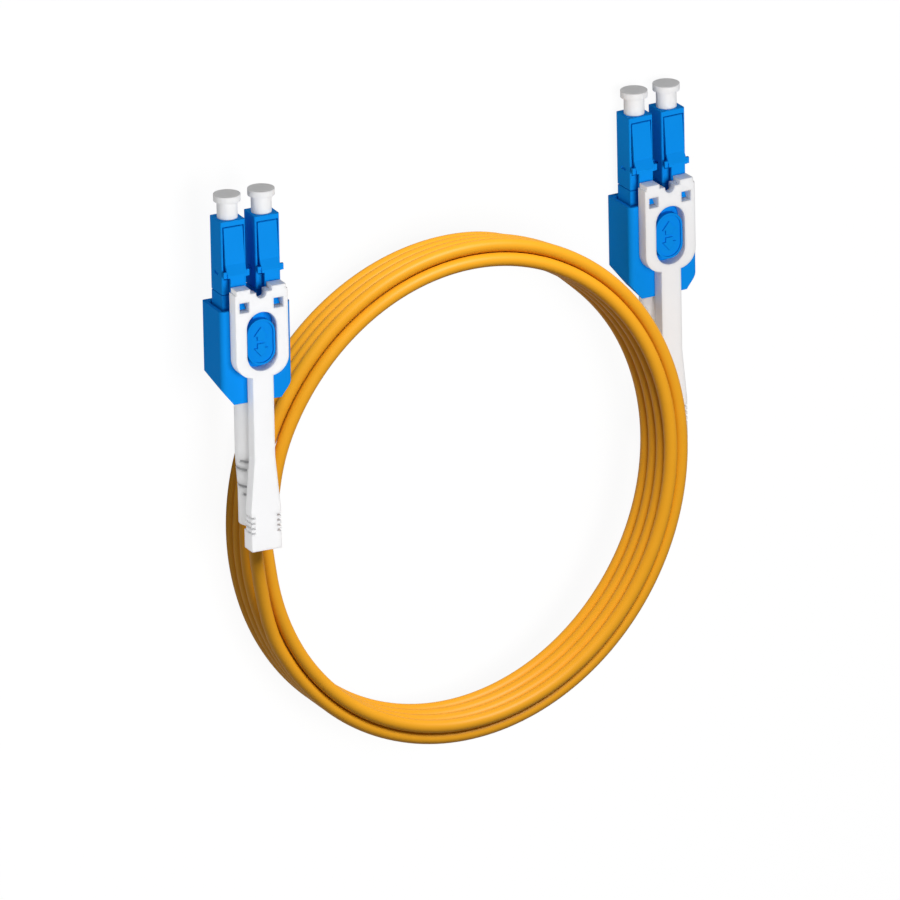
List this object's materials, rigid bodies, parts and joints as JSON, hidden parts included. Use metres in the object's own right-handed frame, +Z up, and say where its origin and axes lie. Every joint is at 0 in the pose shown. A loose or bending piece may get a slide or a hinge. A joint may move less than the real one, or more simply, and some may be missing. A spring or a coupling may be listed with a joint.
{
  "type": "fibre optic patch cable",
  "caption": "Fibre optic patch cable: a round yellow cord lying in a coil, with a blue duplex push-pull connector at each end, white pull tabs, boots and dust caps.",
  "frame": {"origin": "on the floor, in the middle of the right connector's base", "axes": "+Y towards the right connector's plug tips, +Z up from the floor, +X to that connector's right"},
  "size_m": [0.0959, 0.1066, 0.0204],
  "materials": {
    "cable_jacket": "smooth satin yellow jacket",
    "housing_blue": "smooth moulded blue plastic",
    "plug_blue": "smooth moulded blue plastic",
    "tab_white": "smooth moulded white plastic",
    "boot_white": "soft matt white moulding",
    "cap_white": "matt white moulding",
    "ferrule_ceramic": "ground and polished white ceramic",
    "holder_metal": "nickel-plated turned metal",
    "spring_steel": "bright spring wire",
    "crimp_metal": "plated crimped metal",
    "fibre_buffer": "smooth fibre buffer"
  },
  "bodies": {
    "cable_and_housings": {"cable_coil": "cable_jacket", "left_lead": "cable_jacket", "right_lead": "cable_jacket", "left_housing_base": "housing_blue", "left_housing_cover": "housing_blue", "left_boot": "boot_white", "left_crimp_ring": "crimp_metal", "left_plug_frame_a": "plug_blue", "left_plug_rear_a": "plug_blue", "left_ferrule_spring_a": "spring_steel", "left_fibre_a": "fibre_buffer", "left_plug_frame_b": "plug_blue", "left_plug_rear_b": "plug_blue", "left_ferrule_spring_b": "spring_steel", "left_fibre_b": "fibre_buffer", "right_housing_base": "housing_blue", "right_housing_cover": "housing_blue", "right_boot": "boot_white", "right_crimp_ring": "crimp_metal", "right_plug_frame_a": "plug_blue", "right_plug_rear_a": "plug_blue", "right_ferrule_spring_a": "spring_steel", "right_fibre_a": "fibre_buffer", "right_plug_frame_b": "plug_blue", "right_plug_rear_b": "plug_blue", "right_ferrule_spring_b": "spring_steel", "right_fibre_b": "fibre_buffer"},
    "left_tab": {"left_pull_tab": "tab_white"},
    "left_latch_a": {"left_latch_lever_a": "plug_blue"},
    "left_ferrule_a": {"left_ferrule_a": "ferrule_ceramic", "left_ferrule_holder_a": "holder_metal"},
    "left_cap_a": {"left_dust_cap_a": "cap_white"},
    "left_latch_b": {"left_latch_lever_b": "plug_blue"},
    "left_ferrule_b": {"left_ferrule_b": "ferrule_ceramic", "left_ferrule_holder_b": "holder_metal"},
    "left_cap_b": {"left_dust_cap_b": "cap_white"},
    "right_tab": {"right_pull_tab": "tab_white"},
    "right_latch_a": {"right_latch_lever_a": "plug_blue"},
    "right_ferrule_a": {"right_ferrule_a": "ferrule_ceramic", "right_ferrule_holder_a": "holder_metal"},
    "right_cap_a": {"right_dust_cap_a": "cap_white"},
    "right_latch_b": {"right_latch_lever_b": "plug_blue"},
    "right_ferrule_b": {"right_ferrule_b": "ferrule_ceramic", "right_ferrule_holder_b": "holder_metal"},
    "right_cap_b": {"right_dust_cap_b": "cap_white"}
  },
  "joints": [
    {"name": "left_tab_pull", "type": "slide", "parent": "cable_and_housings", "child": "left_tab", "axis": [0.0067, 0.9998, -0.0167], "range_m": [-0.0013, 0], "stiffness_N_per_m": 2000},
    {"name": "left_latch_a_press", "type": "hinge", "parent": "cable_and_housings", "child": "left_latch_a", "pos_m": [-0.08581, 0.02251, 0.01294], "axis": [0.9962, -0.0052, 0.0872], "range_deg": [0, 3.6]},
    {"name": "left_ferrule_a_float", "type": "slide", "parent": "cable_and_housings", "child": "left_ferrule_a", "axis": [0.0067, 0.9998, -0.0167], "range_m": [-0.001, 0], "stiffness_N_per_m": 1500, "springref_m": 0.0022, "deforming": ["left_ferrule_spring_a"]},
    {"name": "left_cap_a_pull", "type": "slide", "parent": "cable_and_housings", "child": "left_cap_a", "axis": [0.0067, 0.9998, -0.0167], "range_m": [0, 0.01]},
    {"name": "left_latch_b_press", "type": "hinge", "parent": "cable_and_housings", "child": "left_latch_b", "pos_m": [-0.07958, 0.02247, 0.01348], "axis": [0.9962, -0.0052, 0.0872], "range_deg": [0, 3.6]},
    {"name": "left_ferrule_b_float", "type": "slide", "parent": "cable_and_housings", "child": "left_ferrule_b", "axis": [0.0067, 0.9998, -0.0167], "range_m": [-0.001, 0], "stiffness_N_per_m": 1500, "springref_m": 0.0022, "deforming": ["left_ferrule_spring_b"]},
    {"name": "left_cap_b_pull", "type": "slide", "parent": "cable_and_housings", "child": "left_cap_b", "axis": [0.0067, 0.9998, -0.0167], "range_m": [0, 0.01]},
    {"name": "right_tab_pull", "type": "slide", "parent": "cable_and_housings", "child": "right_tab", "axis": [0, 1, 0], "range_m": [-0.0013, 0], "stiffness_N_per_m": 2000},
    {"name": "right_latch_a_press", "type": "hinge", "parent": "cable_and_housings", "child": "right_latch_a", "pos_m": [-0.00313, 0.0223, 0.00584], "axis": [1, 0, 0], "range_deg": [0, 3.6]},
    {"name": "right_ferrule_a_float", "type": "slide", "parent": "cable_and_housings", "child": "right_ferrule_a", "axis": [0, 1, 0], "range_m": [-0.001, 0], "stiffness_N_per_m": 1500, "springref_m": 0.0022, "deforming": ["right_ferrule_spring_a"]},
    {"name": "right_cap_a_pull", "type": "slide", "parent": "cable_and_housings", "child": "right_cap_a", "axis": [0, 1, 0], "range_m": [0, 0.01]},
    {"name": "right_latch_b_press", "type": "hinge", "parent": "cable_and_housings", "child": "right_latch_b", "pos_m": [0.00313, 0.0223, 0.00584], "axis": [1, 0, 0], "range_deg": [0, 3.6]},
    {"name": "right_ferrule_b_float", "type": "slide", "parent": "cable_and_housings", "child": "right_ferrule_b", "axis": [0, 1, 0], "range_m": [-0.001, 0], "stiffness_N_per_m": 1500, "springref_m": 0.0022, "deforming": ["right_ferrule_spring_b"]},
    {"name": "right_cap_b_pull", "type": "slide", "parent": "cable_and_housings", "child": "right_cap_b", "axis": [0, 1, 0], "range_m": [0, 0.01]}
  ],
  "couplings": [
    {"joint": "left_latch_a_press", "follows": "left_tab_pull", "rad_per_m": -48.3},
    {"joint": "left_latch_b_press", "follows": "left_tab_pull", "rad_per_m": -48.3},
    {"joint": "right_latch_a_press", "follows": "right_tab_pull", "rad_per_m": -48.3},
    {"joint": "right_latch_b_press", "follows": "right_tab_pull", "rad_per_m": -48.3}
  ]
}
